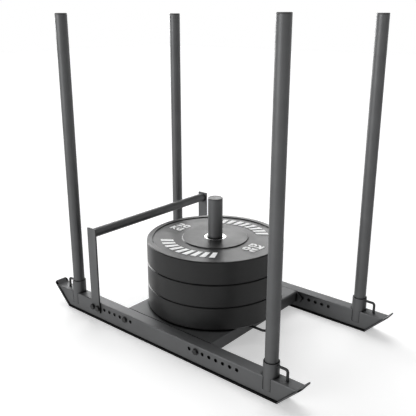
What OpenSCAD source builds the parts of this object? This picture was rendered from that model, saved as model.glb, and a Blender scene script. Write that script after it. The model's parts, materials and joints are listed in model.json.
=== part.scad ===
// Push and pull weight sled with four lift-out poles, a low handle and three weight plates.
// X runs along the runners with the front at +X, Y points to the left side and Z points up.
// The origin lies on the floor under the middle of the sled. All lengths are in millimetres.

/* [Runners] */
// Distance between the centre lines of the two runners
runner_spacing = 508; // [460:2:640]
// Width of the runner tube
runner_w = 40; // [36:1:44]
// Height of the runner tube
runner_h = 60; // [50:1:80]
// Wall of the runner tube
runner_wall = 3; // [2:0.5:4]
// Outside corner radius of the runner tube
runner_corner_r = 3.5; // [2:0.5:5]

/* [Skids] */
// Thickness of the flat bar that the sled glides on
skid_t = 4; // [3:0.5:8]
// How far the skid stands out past each side of the runner
skid_overhang = 5; // [1:0.5:10]
// Half length of the flat stretch that rests on the floor
skid_flat_half = 444; // [436:1:500]
// Slope of the turned-up ends
ramp_angle = 45; // [35:1:55]
// Height of the underside at the tips of the turned-up ends
ramp_rise = 74; // [70:1:100]
// Corner radius of the turned-up ends
skid_corner_r = 8; // [2:0.5:16]

/* [Sockets and push poles] */
// Distance from a pole's centre line to the end of the skid's flat stretch
pole_inset = 37; // [34:1:64]
// Outside diameter of a push pole
pole_d = 38; // [32:0.5:40]
// Wall of a push pole
pole_wall = 2; // [1.5:0.5:4]
// Height of the pole tops above the floor
pole_top = 994; // [700:1:1200]
// Gap all round between a pole and its socket
pole_fit = 1.5; // [0.3:0.1:2]
// Wall of a socket
socket_wall = 2.5; // [2:0.1:5]
// Height of the socket mouth above the runner
socket_rise = 42.5; // [40:0.5:80]
// Height of the socket's lower end above the underside of the runner tube
socket_lift = 20.5; // [10:0.5:30]
// Gap round a socket in the opening cut for it in its runner
socket_slot_gap = 0.9; // [0.2:0.1:0.9]
// Thickness of the disc that closes the socket
socket_floor_t = 4; // [2:0.5:8]
// Play between the foot of a pole and the disc under it
pole_seat_gap = 0.3; // [0.3:0.1:1]

/* [End caps] */
// Height of a cap's head above the end of its tube
cap_head_h = 4; // [2:0.5:6]
// Width of the bevel round a cap's head
cap_bevel = 1.2; // [0.5:0.1:1.5]
// Depth of a cap's plug inside its tube
cap_plug_h = 14; // [8:1:25]
// Gap all round between a cap's plug and its tube
cap_fit = 0.1; // [0.05:0.05:0.3]

/* [Tow loops] */
// Diameter of the bent rod
rod_d = 8; // [6:0.5:10]
// Distance from the pole's axis to the upright leg of a corner loop
loop_reach = 52; // [45:1:60]
// Height of a corner loop's arm above the runner
loop_rise = 34; // [28:1:36]
// Centre-line radius of the bend in a corner loop
loop_bend_r = 7; // [6:1:14]
// Distance between the two arms of the tray's loop
tray_loop_w = 84; // [60:2:140]
// Distance that the tray's loop stands out from the tray
tray_loop_reach = 60; // [40:1:90]
// Centre-line radius of the bends in the tray's loop
tray_loop_bend_r = 14; // [8:1:24]

/* [Adjusting holes] */
// Diameter of the adjusting holes
hole_d = 10.5; // [9:0.1:12]
// Distance between neighbouring adjusting holes
hole_pitch = 25.4; // [24:0.1:28]
// Number of adjusting holes in each row
hole_count = 8; // [6:1:8]
// Distance from the middle of the sled to the first hole of a row
hole_start = 127.5; // [124:0.5:132]
// Depth of the holes below the top of the runner
hole_drop = 19.3; // [14:0.1:26]

/* [Weight tray] */
// Length of the tray along the runners
tray_l = 360; // [340:2:400]
// Thickness of the tray's folded sheet
tray_t = 4; // [3:0.5:6]
// Overall depth of the tray
tray_depth = 37.5; // [34:0.5:50]
// Outside bend radius of the tray's long edges
tray_bend_r = 5; // [4:0.5:6]
// Inside bend radius of the tray's long edges
tray_inner_bend_r = 1.5; // [0.5:0.1:3]
// Distance that the pointed ends of the tray's side walls stand out past its long edges
tray_ear_reach = 24; // [18:1:28]
// Depth of those points below the tray's top
tray_ear_drop = 18; // [14:1:22]
// Distance that the points fall back towards the tray at its lower edge
tray_ear_back = 9; // [4:1:14]
// Gap between the tray and each runner
tray_fit = 0.2; // [0.1:0.1:0.5]

/* [Weight post] */
// Outside diameter of the weight post
post_d = 48; // [45:0.5:49.5]
// Wall of the weight post
post_wall = 3; // [2:0.5:5]
// Height of the weight post above the tray
post_h = 361; // [300:1:450]
// Diameter of the flange at the foot of the post
flange_d = 96; // [80:1:140]
// Thickness of the flange at the foot of the post
flange_t = 3; // [2:0.5:6]
// Gap that the weld fills round a socket's floor disc and at the end of a loop
weld_gap = 0.2; // [0.1:0.1:0.3]

/* [Low handle] */
// Width of a handle leg
leg_w = 40; // [40:1:44]
// Thickness of a handle leg
leg_t = 6; // [4:0.5:10]
// Height of the handle legs above the runner
leg_rise = 263.5; // [240:0.5:400]
// How far the handle legs reach below the top of the runner
leg_drop = 36.5; // [30:0.5:50]
// Diameter of the handle's crossbar
crossbar_d = 30; // [25:0.5:36]
// Wall of the handle's crossbar
crossbar_wall = 2.5; // [1.5:0.5:4]
// Distance from the top of the legs to the crossbar's axis
crossbar_drop = 18; // [18:0.5:40]

/* [Weight plates] */
// Diameter of a weight plate
plate_d = 450; // [350:1:450]
// Thickness of a weight plate
plate_t = 74.7; // [40:0.1:90]
// Play between neighbouring plates
plate_gap = 0.3; // [0.3:0.1:1]
// Width of the raised rim
plate_rim_w = 18; // [10:0.5:30]
// Diameter of the raised middle of a plate
plate_disc_d = 220; // [160:2:260]
// Depth of the ring between rim and middle
plate_recess = 3; // [1.5:0.1:6]
// Radius of a plate's outer edges
plate_edge_r = 3; // [1.5:0.1:6]
// Outside diameter of the steel hub ring
hub_d = 72; // [66:0.5:90]
// Bore of the steel hub ring
hub_bore = 50.6; // [50.4:0.1:52]
// Width of the bevel at each mouth of the hub ring
hub_bevel_w = 5; // [2:0.1:6]
// Depth of the bevel at each mouth of the hub ring
hub_bevel_h = 6; // [2:0.1:10]
// Gap all round between a hub ring and its plate
hub_fit = 0.1; // [0.05:0.05:0.3]

/* [Fasteners] */
// Shank diameter of the bolts
bolt_d = 10; // [8:0.1:10.4]
// Shank length of the bolts
bolt_len = 60; // [60:1:75]
// Width across the flats of bolt heads and nuts
hex_af = 16; // [14:0.5:18]
// Height of a bolt head
bolt_head_h = 6.4; // [5:0.1:8]
// Height of a nut
nut_h = 8.4; // [6:0.1:10]
// Outside diameter of a washer
washer_d = 20; // [18:0.5:24]
// Thickness of a washer
washer_t = 2; // [1:0.1:2.5]
// Gap all round between a shank and its nut or washer
thread_gap = 0.1; // [0.05:0.05:0.3]

/* [Hidden] */
$fn = 72;

// Names for the two sides and the two ends
LEFT = 1;
RIGHT = -1;
FRONT = 1;
REAR = -1;

// Colours of the painted steel, the rubber, the bare steel and the caps
paint = [0.27, 0.28, 0.29];
rubber = [0.16, 0.16, 0.165];
steel = [0.75, 0.75, 0.76];
black_steel = [0.12, 0.12, 0.125];
plastic = [0.22, 0.22, 0.225];

// Overlap of a cutting shape beyond the face that it cuts
cut = 1;

runner_y = runner_spacing / 2;
skid_w = runner_w + 2 * skid_overhang;
runner_z0 = skid_t;
runner_top = runner_z0 + runner_h;
pole_x = skid_flat_half - pole_inset;
socket_id = pole_d + 2 * pole_fit;
socket_d = socket_id + 2 * socket_wall;
socket_z0 = runner_z0 + socket_lift;
socket_top = runner_top + socket_rise;
pole_z0 = socket_z0 + socket_floor_t + pole_seat_gap;
hole_z = runner_top - hole_drop;
tray_w = runner_spacing - runner_w - 2 * tray_fit;
tray_z0 = runner_top - tray_depth;
post_z0 = runner_top + flange_t;
post_top = runner_top + post_h;
tray_bolt_x = hole_start + hole_pitch;
last_hole_x = hole_start + (hole_count - 1) * hole_pitch;
handle_x = -(last_hole_x - hole_pitch / 2);
leg_y = runner_y + runner_w / 2;
crossbar_z = runner_top + leg_rise - crossbar_drop;
plate_z0 = post_z0 + plate_gap;
plate_pitch = plate_t + plate_gap;

// Points on an arc round [cx, cy] from angle a0 to angle a1
function arc(cx, cy, r, a0, a1, steps = 6) =
    [for (i = [0:steps]) let (a = a0 + (a1 - a0) * i / steps) [cx + r * cos(a), cy + r * sin(a)]];

// Places its children at a corner of the sled, turned so that +X points away from the middle
module at_corner(end, side) {
    translate([end * pole_x, side * runner_y, 0])
        mirror([end < 0 ? 1 : 0, 0, 0])
            children();
}

module rounded_rect(w, h, r) {
    square([w - 2 * r, h], center = true);
    square([w, h - 2 * r], center = true);
    for (sx = [-1, 1], sy = [-1, 1])
        translate([sx * (w / 2 - r), sy * (h / 2 - r)])
            circle(r);
}

// Side view of the skid's right half: the underside outwards, then the upper side back
ramp_start = [skid_flat_half, 0];
ramp_end = [skid_flat_half + ramp_rise / tan(ramp_angle), ramp_rise];
inner_ramp_end = [ramp_end[0] - skid_t * sin(ramp_angle), ramp_end[1] + skid_t * cos(ramp_angle)];
inner_ramp_start = [skid_flat_half - skid_t * tan(ramp_angle / 2), skid_t];

// Half lengths of the runner tube at its underside and at its top
runner_low_half = inner_ramp_start[0];
runner_top_half = runner_low_half + runner_h / tan(ramp_angle);

module skid() {
    half = [ramp_start, ramp_end, inner_ramp_end, inner_ramp_start];
    mirrored = [for (i = [len(half) - 1:-1:0]) [-half[i][0], half[i][1]]];
    color(paint)
        difference() {
            rotate([90, 0, 0])
                linear_extrude(height = skid_w, center = true)
                    polygon(concat(half, mirrored));
            for (end = [FRONT, REAR], side = [LEFT, RIGHT])
                mirror([end < 0 ? 1 : 0, 0, 0])
                    mirror([0, side < 0 ? 1 : 0, 0])
                        translate([ramp_end[0], skid_w / 2, ramp_end[1]])
                            rotate([0, -ramp_angle, 0])
                                skid_corner_cut();
        }
}

// What is cut away to round one corner at a skid's tip, with the corner itself at the origin
module skid_corner_cut() {
    translate([-skid_corner_r, -skid_corner_r, -cut])
        difference() {
            cube([skid_corner_r + cut, skid_corner_r + cut, skid_t + 2 * cut]);
            translate([0, 0, -cut])
                cylinder(r = skid_corner_r, h = skid_t + 4 * cut);
        }
}

module runner() {
    mid_z = runner_z0 + runner_h / 2;
    side_view = [
        [-runner_low_half, runner_z0], [runner_low_half, runner_z0],
        [runner_top_half, runner_top], [-runner_top_half, runner_top]
    ];
    color(paint)
        difference() {
            intersection() {
                translate([0, 0, mid_z])
                    rotate([90, 0, 90])
                        linear_extrude(height = 2 * runner_top_half + 2 * cut, center = true)
                            rounded_rect(runner_w, runner_h, runner_corner_r);
                rotate([90, 0, 0])
                    linear_extrude(height = runner_w + 2 * cut, center = true)
                        polygon(side_view);
            }
            translate([0, 0, mid_z])
                cube([2 * runner_top_half + 4 * cut, runner_w - 2 * runner_wall,
                      runner_h - 2 * runner_wall], center = true);
            for (end = [FRONT, REAR]) {
                translate([end * pole_x, 0, socket_z0 - socket_slot_gap])
                    cylinder(d = socket_d + 2 * socket_slot_gap, h = runner_h + cut);
                for (i = [0:hole_count - 1])
                    translate([end * (hole_start + i * hole_pitch), 0, hole_z])
                        rotate([90, 0, 0])
                            cylinder(d = hole_d, h = runner_w + 2 * cut, center = true);
            }
        }
}

module socket() {
    color(paint)
        translate([0, 0, socket_z0])
            difference() {
                cylinder(d = socket_d, h = socket_top - socket_z0);
                translate([0, 0, -cut])
                    cylinder(d = socket_id, h = socket_top - socket_z0 + 2 * cut);
            }
}

module socket_floor_discs() {
    color(paint)
        for (end = [FRONT, REAR], side = [LEFT, RIGHT])
            at_corner(end, side)
                translate([0, 0, socket_z0])
                    cylinder(d = socket_id - 2 * weld_gap, h = socket_floor_t);
}

// A quarter ring of rod from +X round to +Y
module rod_bend(r) {
    rotate_extrude(angle = 90)
        translate([r, 0])
            circle(d = rod_d, $fn = 24);
}

module rod(length) {
    cylinder(d = rod_d, h = length, $fn = 24);
}

// Bent rod from the side of a socket over and down to the top of the runner
module tow_loop() {
    arm_z = runner_top + loop_rise;
    bend_x = loop_reach - loop_bend_r;
    color(paint)
        difference() {
            union() {
                translate([0, 0, arm_z])
                    rotate([0, 90, 0])
                        rod(bend_x);
                translate([bend_x, 0, arm_z - loop_bend_r])
                    rotate([90, 0, 0])
                        rod_bend(loop_bend_r);
                translate([loop_reach, 0, runner_top])
                    rod(loop_rise - loop_bend_r);
            }
            translate([0, 0, runner_top])
                cylinder(d = socket_d + 2 * weld_gap, h = 2 * loop_rise);
        }
}

// Folded sheet with its four edges turned down between the runners
module weight_tray() {
    color(paint)
        difference() {
            union() {
                tray_block(tray_l, tray_w, runner_top, tray_bend_r);
                for (side = [LEFT, RIGHT])
                    translate([0, side * (tray_w - tray_t) / 2, 0])
                        rotate([90, 0, 0])
                            linear_extrude(height = tray_t, center = true)
                                for (end = [FRONT, REAR])
                                    scale([end, 1])
                                        tray_ear();
            }
            tray_block(tray_l - 2 * tray_t, tray_w - 2 * tray_t, runner_top - tray_t, tray_inner_bend_r);
            for (end = [FRONT, REAR])
                translate([end * tray_bolt_x, 0, hole_z])
                    rotate([90, 0, 0])
                        cylinder(d = hole_d, h = tray_w + 2 * cut, center = true);
        }
}

// Outline of one pointed end of a side wall, which starts inside the tray's bend
module tray_ear() {
    bend_x = tray_l / 2 - tray_bend_r;
    bend_z = runner_top - tray_bend_r;
    slope_start = tray_bend_r * sin(45);
    tip_x = tray_l / 2 + tray_ear_reach;
    polygon([
        [bend_x, bend_z],
        [bend_x + slope_start, bend_z + slope_start],
        [tip_x, runner_top - tray_ear_drop],
        [tip_x - tray_ear_back, tray_z0],
        [bend_x, tray_z0]
    ]);
}

// A block from the tray's lower edge to a top face, with both edges along Y rounded
module tray_block(length, width, top, r) {
    rotate([90, 0, 0])
        linear_extrude(height = width, center = true) {
            translate([-length / 2, tray_z0])
                square([length, top - r - tray_z0]);
            translate([-length / 2 + r, tray_z0])
                square([length - 2 * r, top - tray_z0]);
            for (end = [FRONT, REAR])
                translate([end * (length / 2 - r), top - r])
                    circle(r);
        }
}

// Bent rod standing out from the tray's front edge
module tray_tow_loop() {
    arm_len = tray_loop_reach - tray_loop_bend_r;
    bar_half = tray_loop_w / 2 - tray_loop_bend_r;
    color(paint)
        translate([tray_l / 2, 0, runner_top - tray_depth / 2 - rod_d / 4]) {
            for (side = [LEFT, RIGHT])
                mirror([0, side < 0 ? 1 : 0, 0]) {
                    translate([0, tray_loop_w / 2, 0])
                        rotate([0, 90, 0])
                            rod(arm_len);
                    translate([arm_len, bar_half, 0])
                        rod_bend(tray_loop_bend_r);
                }
            translate([tray_loop_reach, bar_half, 0])
                rotate([90, 0, 0])
                    rod(2 * bar_half);
        }
}

// Tube that stands on the flange
module weight_post() {
    color(paint)
        translate([0, 0, post_z0])
            difference() {
                cylinder(d = post_d, h = post_top - cap_head_h - post_z0);
                translate([0, 0, -cut])
                    cylinder(d = post_d - 2 * post_wall, h = post_top - post_z0 + 2 * cut);
            }
}

module post_flange() {
    color(paint)
        translate([0, 0, runner_top])
            cylinder(d = flange_d, h = flange_t);
}

// Plastic cap with its plug inside a tube of the given size and its head's top at z = 0
module end_cap(tube_d, tube_wall) {
    bevel_top = [tube_d / 2 - cap_bevel, 0];
    color(plastic)
        rotate_extrude()
            polygon([
                [0, 0], bevel_top, [tube_d / 2, -cap_bevel], [tube_d / 2, -cap_head_h],
                [tube_d / 2 - tube_wall - cap_fit, -cap_head_h],
                [tube_d / 2 - tube_wall - cap_fit, -cap_head_h - cap_plug_h],
                [0, -cap_head_h - cap_plug_h]
            ]);
}

module pole() {
    color(paint)
        translate([0, 0, pole_z0])
            difference() {
                cylinder(d = pole_d, h = pole_top - cap_head_h - pole_z0);
                translate([0, 0, -cut])
                    cylinder(d = pole_d - 2 * pole_wall, h = pole_top - pole_z0 + 2 * cut);
            }
}

module pole_cap() {
    translate([0, 0, pole_top])
        end_cap(pole_d, pole_wall);
}

module post_cap() {
    translate([0, 0, post_top])
        end_cap(post_d, post_wall);
}

module handle_leg(side) {
    z0 = runner_top - leg_drop;
    y0 = side > 0 ? leg_y : -leg_y - leg_t;
    color(paint)
        difference() {
            translate([handle_x - leg_w / 2, y0, z0])
                cube([leg_w, leg_t, leg_rise + leg_drop]);
            for (k = [-1, 1])
                translate([handle_x + k * hole_pitch / 2, side * leg_y, hole_z])
                    rotate([90, 0, 0])
                        cylinder(d = hole_d, h = 3 * leg_t, center = true);
        }
}

module handle_crossbar() {
    color(paint)
        translate([handle_x, 0, crossbar_z])
            rotate([90, 0, 0])
                difference() {
                    cylinder(d = crossbar_d, h = 2 * leg_y, center = true);
                    cylinder(d = crossbar_d - 2 * crossbar_wall, h = 2 * leg_y + 2 * cut,
                             center = true);
                }
}

// Places its children on the outer faces of the handle legs, with +Z pointing outwards
module at_handle_bolts() {
    for (side = [LEFT, RIGHT], k = [-1, 1])
        translate([handle_x + k * hole_pitch / 2, side * (leg_y + leg_t), hole_z])
            rotate([-90 * side, 0, 0])
                children();
}

// Places its children on the outer faces of the runners where the tray is bolted on
module at_tray_bolts() {
    for (side = [LEFT, RIGHT], end = [FRONT, REAR])
        translate([end * tray_bolt_x, side * leg_y, hole_z])
            rotate([-90 * side, 0, 0])
                children();
}

handle_grip = leg_t + runner_w;
tray_grip = runner_w + tray_fit + tray_t;

module bolt() {
    color(black_steel) {
        cylinder(d = hex_af / cos(30), h = bolt_head_h, $fn = 6);
        translate([0, 0, -bolt_len])
            cylinder(d = bolt_d, h = bolt_len);
    }
}

// A ring round the bolt, whose outer face lies at the depth given below the bolt's head
module fastener_ring(depth, height, outer_d, sides) {
    color(black_steel)
        translate([0, 0, -depth - height])
            difference() {
                cylinder(d = outer_d, h = height, $fn = sides);
                translate([0, 0, -cut])
                    cylinder(d = bolt_d + 2 * thread_gap, h = height + 2 * cut);
            }
}

module washer(grip) {
    fastener_ring(grip, washer_t, washer_d, $fn);
}

module nut(grip) {
    fastener_ring(grip + washer_t, nut_h, hex_af / cos(30), 6);
}

// Half section of a plate with raised rim, recessed ring and raised middle on both faces
module weight_plate(index) {
    r_out = plate_d / 2;
    r_rim = r_out - plate_rim_w;
    r_disc = plate_disc_d / 2;
    r_bore = hub_d / 2 + hub_fit;
    e = plate_edge_r;
    lower = [
        [r_bore, 0], [r_disc - plate_recess, 0], [r_disc, plate_recess],
        [r_rim - plate_recess, plate_recess], [r_rim, 0]
    ];
    upper = [for (i = [len(lower) - 1:-1:0]) [lower[i][0], plate_t - lower[i][1]]];
    color(rubber)
        translate([0, 0, plate_z0 + index * plate_pitch])
            rotate_extrude($fn = 120)
                polygon(concat(
                    lower,
                    arc(r_out - e, e, e, -90, 0),
                    arc(r_out - e, plate_t - e, e, 0, 90),
                    upper));
}

module hub_ring(index) {
    r_in = hub_bore / 2;
    r_out = hub_d / 2;
    color(steel)
        translate([0, 0, plate_z0 + index * plate_pitch])
            rotate_extrude()
                polygon([
                    [r_in + hub_bevel_w, 0], [r_out, 0], [r_out, plate_t],
                    [r_in + hub_bevel_w, plate_t], [r_in, plate_t - hub_bevel_h],
                    [r_in, hub_bevel_h]
                ]);
}

translate([0, -runner_y, 0]) runner();  // right_runner
translate([0, runner_y, 0]) runner();  // left_runner
translate([0, -runner_y, 0]) skid();  // right_skid
translate([0, runner_y, 0]) skid();  // left_skid
at_corner(FRONT, RIGHT) socket();  // front_right_socket
at_corner(FRONT, LEFT) socket();  // front_left_socket
at_corner(REAR, RIGHT) socket();  // rear_right_socket
at_corner(REAR, LEFT) socket();  // rear_left_socket
socket_floor_discs();
at_corner(FRONT, RIGHT) tow_loop();  // front_right_tow_loop
at_corner(FRONT, LEFT) tow_loop();  // front_left_tow_loop
at_corner(REAR, RIGHT) tow_loop();  // rear_right_tow_loop
at_corner(REAR, LEFT) tow_loop();  // rear_left_tow_loop
weight_tray();
tray_tow_loop();
weight_post();
post_flange();
post_cap();
handle_leg(RIGHT);  // right_handle_leg
handle_leg(LEFT);  // left_handle_leg
handle_crossbar();
at_handle_bolts() bolt();  // handle_bolts
at_handle_bolts() washer(handle_grip);  // handle_washers
at_handle_bolts() nut(handle_grip);  // handle_nuts
at_tray_bolts() bolt();  // tray_bolts
at_tray_bolts() washer(tray_grip);  // tray_washers
at_tray_bolts() nut(tray_grip);  // tray_nuts
at_corner(FRONT, RIGHT) pole();  // front_right_pole
at_corner(FRONT, LEFT) pole();  // front_left_pole
at_corner(REAR, RIGHT) pole();  // rear_right_pole
at_corner(REAR, LEFT) pole();  // rear_left_pole
at_corner(FRONT, RIGHT) pole_cap();  // front_right_pole_cap
at_corner(FRONT, LEFT) pole_cap();  // front_left_pole_cap
at_corner(REAR, RIGHT) pole_cap();  // rear_right_pole_cap
at_corner(REAR, LEFT) pole_cap();  // rear_left_pole_cap
weight_plate(0);  // lower_plate
weight_plate(1);  // middle_plate
weight_plate(2);  // upper_plate
hub_ring(0);  // lower_hub_ring
hub_ring(1);  // middle_hub_ring
hub_ring(2);  // upper_hub_ring
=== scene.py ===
"""Looks of a push and pull weight sled with four poles, a low handle and three weight plates.

Every piece is in metres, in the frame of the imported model: X runs along the runners with the front at +X,
Y points to the left side and Z points up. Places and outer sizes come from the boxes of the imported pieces.
"""

import json
import logging
import math
from dataclasses import dataclass, field
from enum import Enum
from typing import Any, Sequence

import bmesh
import bpy
import numpy as np
from numpy.typing import NDArray
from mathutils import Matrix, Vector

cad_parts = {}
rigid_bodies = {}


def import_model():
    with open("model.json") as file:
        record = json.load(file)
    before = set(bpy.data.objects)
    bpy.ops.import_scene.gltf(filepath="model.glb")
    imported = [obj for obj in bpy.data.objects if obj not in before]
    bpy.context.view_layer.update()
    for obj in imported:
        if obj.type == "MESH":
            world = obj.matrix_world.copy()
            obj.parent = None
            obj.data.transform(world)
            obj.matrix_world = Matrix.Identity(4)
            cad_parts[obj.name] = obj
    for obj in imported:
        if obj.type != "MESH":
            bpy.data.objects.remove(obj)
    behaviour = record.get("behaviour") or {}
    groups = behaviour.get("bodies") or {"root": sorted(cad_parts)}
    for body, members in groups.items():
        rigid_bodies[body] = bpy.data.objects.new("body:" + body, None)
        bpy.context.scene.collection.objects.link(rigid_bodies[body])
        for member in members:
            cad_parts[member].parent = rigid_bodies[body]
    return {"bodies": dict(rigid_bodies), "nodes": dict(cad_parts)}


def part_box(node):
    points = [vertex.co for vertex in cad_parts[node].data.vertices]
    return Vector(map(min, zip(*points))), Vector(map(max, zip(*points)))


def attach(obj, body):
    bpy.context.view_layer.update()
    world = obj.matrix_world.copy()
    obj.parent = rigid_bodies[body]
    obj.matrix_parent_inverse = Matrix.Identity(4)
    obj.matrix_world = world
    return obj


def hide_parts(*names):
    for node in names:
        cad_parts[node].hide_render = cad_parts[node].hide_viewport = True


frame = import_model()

Array = NDArray[np.float64]
Slab = tuple[Array, list[list[int]]]
LOG = logging.getLogger("weight_sled")
MM = 0.001
TURN = 2 * math.pi

# The angle from which an edge is sharp, and the distances at which points are one and an edge has no length.
SHARP_DEG = 38.0
BEAD_SHARP_DEG = 60.0
SAME_POINT = 1e-6
NO_LENGTH = 1e-7

# The distance from the sled's middle plane to each runner's.
RUNNER_PLANE = 254 * MM

# The tone of places in shadow, and the share of open surroundings where it starts and where it ends.
NEAR_BLACK = 0.003
NOOK_SHARES = (0.45, 0.9)
NOOK_SAMPLES = 8

# Where a mix node keeps its share, its two colours and its mixed colour.
MIX_SHARE, MIX_FIRST, MIX_SECOND, MIX_RESULT = 0, 6, 7, 2

# A wave node's phase in radians is this many times its scale and the distance.
WAVE_RATE = 20


class Slot(Enum):
    """The material slots of the record."""

    PAINT = "frame_paint"
    RUBBER = "plate_rubber"
    HUB = "hub_steel"
    PLASTIC = "cap_plastic"
    FASTENER = "fastener_steel"
    MARKING = "marking"


class Corner(Enum):
    """The corners of the sled, with the direction of each from the middle along the runners."""

    FRONT_RIGHT = ("front_right", 1)
    FRONT_LEFT = ("front_left", 1)
    REAR_RIGHT = ("rear_right", -1)
    REAR_LEFT = ("rear_left", -1)

    @property
    def word(self) -> str:
        """The corner's name as the nodes use it."""
        return self.value[0]

    @property
    def end(self) -> int:
        """1 at the front and -1 at the rear."""
        return self.value[1]


class Level(Enum):
    """The plates of the stack, from the bottom up."""

    LOWER = "lower"
    MIDDLE = "middle"
    UPPER = "upper"


def unit(vectors: Array) -> Array:
    """Scales each row of components to length 1."""
    return vectors / np.linalg.norm(vectors, axis=-1, keepdims=True)


def box_of(node: str) -> tuple[Array, Array]:
    """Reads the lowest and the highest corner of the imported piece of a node."""
    low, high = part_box(node)
    return np.array(low), np.array(high)


def run_along(route: Array) -> Array:
    """The length of a route from its start to each of its points."""
    return np.concatenate([[0], np.cumsum(np.linalg.norm(np.diff(route, axis=0), axis=1))])


def placed(name: str, data: Any) -> bpy.types.Object:
    """Makes an object and links it to the scene.

    Args:
        name: The object's name.
        data: Its mesh, curve, lamp or camera.

    Returns:
        The new object.
    """
    made = bpy.data.objects.new(name, data)
    bpy.context.scene.collection.objects.link(made)
    return made


def fillet_arcs(before: Array, corner: Array, after: Array, radius: Array, steps: int) -> Array:
    """Rounds corners between straight stretches.

    An arc of the given radius touches both stretches. Its points come from turning the vector from the
    arc's centre to the first touching point towards the second by even steps, and one further point on
    each stretch, a quarter of the radius away, keeps the flat next to it evenly shaded.

    Args:
        before: The points before the corners, one row each.
        corner: The corners, one row each.
        after: The points after the corners, one row each.
        radius: One radius per corner, above 0.
        steps: The number of chords in each arc.

    Returns:
        An array of corners by points by coordinates.
    """
    r = radius[:, None]
    back, ahead = unit(before - corner), unit(after - corner)
    half = 0.5 * np.arccos(np.clip((back * ahead).sum(1, keepdims=True), -1, 1))
    reach = r / np.tan(half)
    centre = corner + unit(back + ahead) * r / np.sin(half)
    first, last = corner + back * reach - centre, corner + ahead * reach - centre
    swing = (np.pi - 2 * half)[:, None]
    t = np.linspace(0, 1, steps + 1)[None, :, None]
    turned = (np.sin((1 - t) * swing) * first[:, None] + np.sin(t * swing) * last[:, None]) / np.sin(swing)
    lead_in = corner + back * (reach + r / 4)
    lead_out = corner + ahead * (reach + r / 4)
    return np.concatenate([lead_in[:, None], centre[:, None] + turned, lead_out[:, None]], axis=1)


def rounded_outline(corners: Sequence[Sequence[float]], radius: float | Sequence[float],
                    steps: int = 3) -> Array:
    """Rounds every corner of a closed outline.

    Args:
        corners: The corner points in order.
        radius: One radius for all corners, or one for each.
        steps: The number of chords in each arc.

    Returns:
        The outline's points in order, as rows.
    """
    p = np.asarray(corners, float)
    r = np.broadcast_to(np.asarray(radius, float), len(p))
    arcs = fillet_arcs(np.roll(p, 1, axis=0), p, np.roll(p, -1, axis=0), r, steps)
    return arcs.reshape(-1, p.shape[1])


def rounded_path(corners: Sequence[Sequence[float]], radius: float, steps: int = 8) -> Array:
    """Rounds the inner corners of an open route.

    Args:
        corners: The route's points, ends included.
        radius: The radius of each bend.
        steps: The number of chords in each bend.

    Returns:
        The route's points in order, as rows.
    """
    p = np.asarray(corners, float)
    arcs = fillet_arcs(p[:-2], p[1:-1], p[2:], np.full(len(p) - 2, radius), steps)
    return np.concatenate([p[:1], arcs.reshape(-1, p.shape[1]), p[-1:]])


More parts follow.
